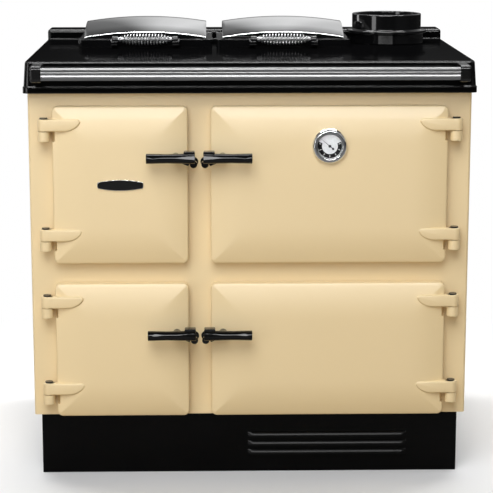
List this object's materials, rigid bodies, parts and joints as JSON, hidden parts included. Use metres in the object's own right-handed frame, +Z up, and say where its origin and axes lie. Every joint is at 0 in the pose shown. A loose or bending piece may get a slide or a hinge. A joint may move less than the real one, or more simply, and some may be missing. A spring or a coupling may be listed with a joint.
{
  "type": "cast iron range cooker",
  "caption": "Cast iron range cooker with hinged hob lids over the hotplate, oven doors on the right, service doors on the left, a front rail and a flue collar",
  "frame": {"origin": "on the floor under the middle of the overall box", "axes": "+X to the right seen from the front, +Y from the front to the back, +Z up"},
  "size_m": [0.99, 0.74, 1.014],
  "materials": {
    "black_enamel": "gloss vitreous enamel",
    "black_iron": "satin black",
    "machined_iron": "machined",
    "oven_iron": "as cast, grey",
    "rail_steel": "reeded, satin polished",
    "cream_enamel": "gloss vitreous enamel",
    "zinc_sheet": "plain plated sheet",
    "black_satin": "satin paint",
    "handle_black": "gloss black",
    "badge_black": "gloss black with a silver rim",
    "bright_chrome": "mirror polished",
    "dial_grey": "satin silver grey with plain marks",
    "needle_black": "matt",
    "clear_glass": "clear",
    "shelf_chrome": "bright plated",
    "knob_black": "satin",
    "mineral_wool": "fibrous block",
    "copper_pipe": "bare copper",
    "rope_seal": "woven glass rope",
    "aluminium_plate": "bright plate"
  },
  "bodies": {
    "cooker": {"back_panel": "zinc_sheet", "base_plate": "zinc_sheet", "burner": "black_satin", "combustion_chamber": "oven_iron", "control_box": "zinc_sheet", "flue_boss": "black_iron", "flue_chest": "oven_iron", "front_panel": "cream_enamel", "fuel_pipe": "copper_pipe", "hinge_lugs": "cream_enamel", "hinge_pins": "black_iron", "hob_plate": "black_enamel", "hotplate": "machined_iron", "latch_keepers": "handle_black", "levelling_feet": "zinc_sheet", "lid_hinge_brackets": "bright_chrome", "lid_hinge_pins": "bright_chrome", "lower_oven": "oven_iron", "main_oven": "oven_iron", "oven_insulation": "mineral_wool", "plinth": "black_satin", "rail_bar": "rail_steel", "rail_brackets": "black_iron", "side_panel_left": "cream_enamel", "side_panel_right": "cream_enamel"},
    "door_upper_left": {"door_shell_upper_left": "cream_enamel", "door_liner_upper_left": "zinc_sheet", "door_seal_upper_left": "rope_seal", "badge": "badge_black"},
    "lever_upper_left": {"handle_upper_left": "handle_black"},
    "door_upper_right": {"door_shell_upper_right": "cream_enamel", "door_liner_upper_right": "zinc_sheet", "door_seal_upper_right": "rope_seal", "thermometer_case": "bright_chrome", "thermometer_dial": "dial_grey", "thermometer_glass": "clear_glass"},
    "lever_upper_right": {"handle_upper_right": "handle_black"},
    "door_lower_left": {"door_shell_lower_left": "cream_enamel", "door_liner_lower_left": "zinc_sheet", "door_seal_lower_left": "rope_seal"},
    "lever_lower_left": {"handle_lower_left": "handle_black"},
    "door_lower_right": {"door_shell_lower_right": "cream_enamel", "door_liner_lower_right": "zinc_sheet", "door_seal_lower_right": "rope_seal"},
    "lever_lower_right": {"handle_lower_right": "handle_black"},
    "gauge_needle": {"thermometer_needle": "needle_black"},
    "lid_left": {"lid_frame_left": "black_enamel", "lid_cover_left": "bright_chrome", "lid_liner_left": "aluminium_plate", "lid_rod_left": "bright_chrome", "lid_coil_left": "bright_chrome"},
    "lid_right": {"lid_frame_right": "black_enamel", "lid_cover_right": "bright_chrome", "lid_liner_right": "aluminium_plate", "lid_rod_right": "bright_chrome", "lid_coil_right": "bright_chrome"},
    "main_oven_rack_lower": {"main_oven_shelf_lower": "shelf_chrome"},
    "main_oven_rack_upper": {"main_oven_shelf_upper": "shelf_chrome"},
    "lower_oven_rack": {"lower_oven_shelf": "shelf_chrome"},
    "knob": {"thermostat_knob": "knob_black"}
  },
  "joints": [
    {"name": "door_hinge_upper_left", "type": "hinge", "parent": "cooker", "child": "door_upper_left", "pos_m": [-0.45, -0.314, 0.673], "axis": [0, 0, -1], "range_deg": [0, 120]},
    {"name": "lever_lift_upper_left", "type": "hinge", "parent": "door_upper_left", "child": "lever_upper_left", "pos_m": [-0.163, -0.356, 0.7385], "axis": [0, 1, 0], "range_deg": [0, 25]},
    {"name": "door_hinge_upper_right", "type": "hinge", "parent": "cooker", "child": "door_upper_right", "pos_m": [0.45, -0.314, 0.673], "axis": [0, 0, 1], "range_deg": [0, 120]},
    {"name": "lever_lift_upper_right", "type": "hinge", "parent": "door_upper_right", "child": "lever_upper_right", "pos_m": [-0.061, -0.356, 0.7385], "axis": [0, -1, 0], "range_deg": [0, 25]},
    {"name": "door_hinge_lower_left", "type": "hinge", "parent": "cooker", "child": "door_lower_left", "pos_m": [-0.45, -0.314, 0.3015], "axis": [0, 0, -1], "range_deg": [0, 120]},
    {"name": "lever_lift_lower_left", "type": "hinge", "parent": "door_lower_left", "child": "lever_lower_left", "pos_m": [-0.163, -0.356, 0.3445], "axis": [0, 1, 0], "range_deg": [0, 25]},
    {"name": "door_hinge_lower_right", "type": "hinge", "parent": "cooker", "child": "door_lower_right", "pos_m": [0.45, -0.314, 0.3015], "axis": [0, 0, 1], "range_deg": [0, 120]},
    {"name": "lever_lift_lower_right", "type": "hinge", "parent": "door_lower_right", "child": "lever_lower_right", "pos_m": [-0.061, -0.356, 0.3445], "axis": [0, -1, 0], "range_deg": [0, 25]},
    {"name": "gauge_needle_turn", "type": "hinge", "parent": "door_upper_right", "child": "gauge_needle", "pos_m": [0.1725, -0.3296, 0.761], "axis": [0, 1, 0], "range_deg": [0, 290]},
    {"name": "lid_hinge_left", "type": "hinge", "parent": "cooker", "child": "lid_left", "pos_m": [-0.239, 0.292, 0.978], "axis": [-1, 0, 0], "range_deg": [0, 97]},
    {"name": "lid_hinge_right", "type": "hinge", "parent": "cooker", "child": "lid_right", "pos_m": [0.0855, 0.292, 0.978], "axis": [-1, 0, 0], "range_deg": [0, 97]},
    {"name": "main_oven_shelf_lower_slide", "type": "slide", "parent": "cooker", "child": "main_oven_rack_lower", "axis": [0, -1, 0], "range_m": [0, 0.028]},
    {"name": "main_oven_shelf_upper_slide", "type": "slide", "parent": "cooker", "child": "main_oven_rack_upper", "axis": [0, -1, 0], "range_m": [0, 0.028]},
    {"name": "lower_oven_shelf_slide", "type": "slide", "parent": "cooker", "child": "lower_oven_rack", "axis": [0, -1, 0], "range_m": [0, 0.028]},
    {"name": "thermostat_turn", "type": "hinge", "parent": "cooker", "child": "knob", "pos_m": [-0.285, -0.1406, 0.69], "axis": [0, 1, 0], "range_deg": [0, 270]}
  ]
}
